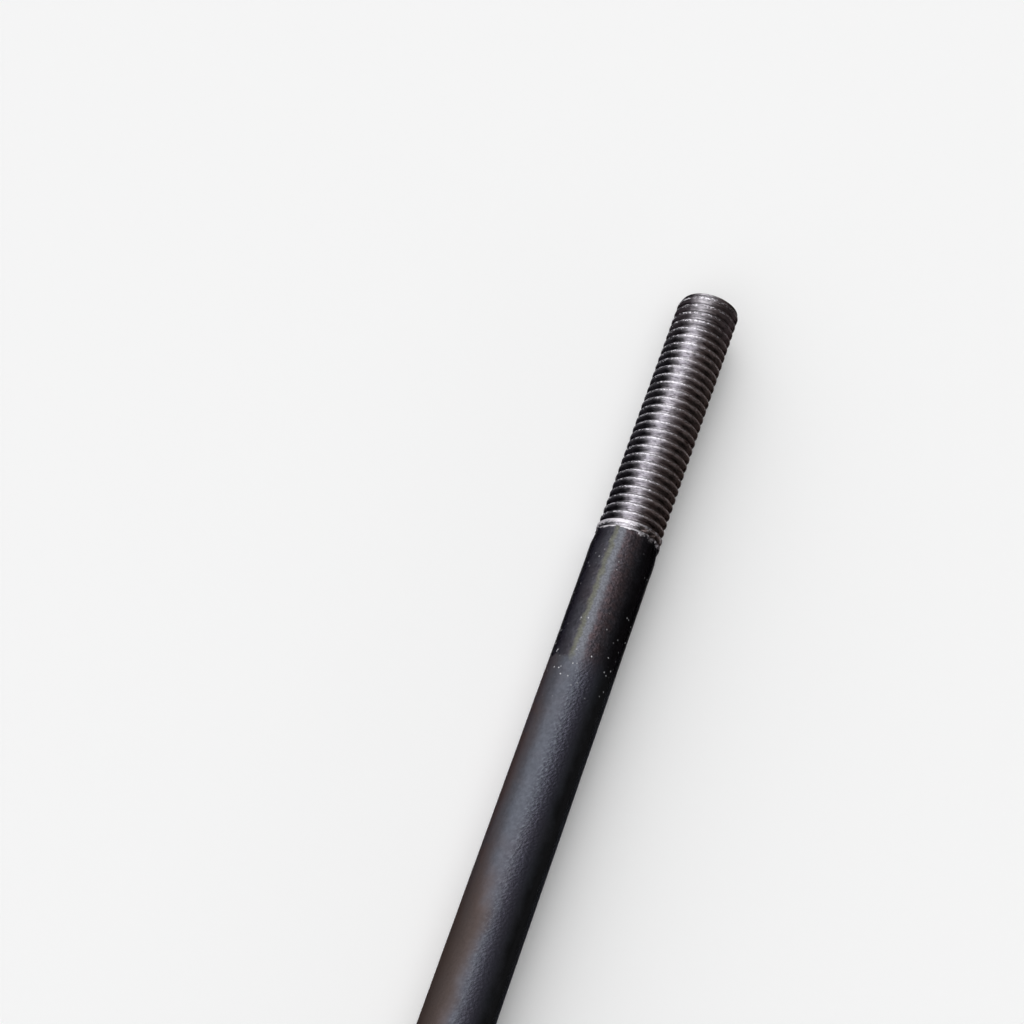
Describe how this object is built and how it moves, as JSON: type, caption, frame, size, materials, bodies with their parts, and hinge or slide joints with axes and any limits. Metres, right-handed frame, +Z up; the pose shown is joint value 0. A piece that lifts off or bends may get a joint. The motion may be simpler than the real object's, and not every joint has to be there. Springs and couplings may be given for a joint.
{
  "type": "anchor bolt",
  "caption": "L-shaped steel anchor bolt: a round bar with a coarse thread at one end and a square bend to a plain foot at the other, to be cast into concrete.",
  "frame": {"origin": "middle of the part's footprint, on the surface that it lies on", "axes": "+Y along the bolt, out of its threaded end; the foot points to +X; +Z up, square to the plane of the bend"},
  "size_m": [0.06, 0.2, 0.0121],
  "materials": {
    "black_steel": "oiled black mill scale, worn bright along the thread crests"
  },
  "bodies": {
    "root": {"anchor_bolt": "black_steel"}
  },
  "joints": []
}
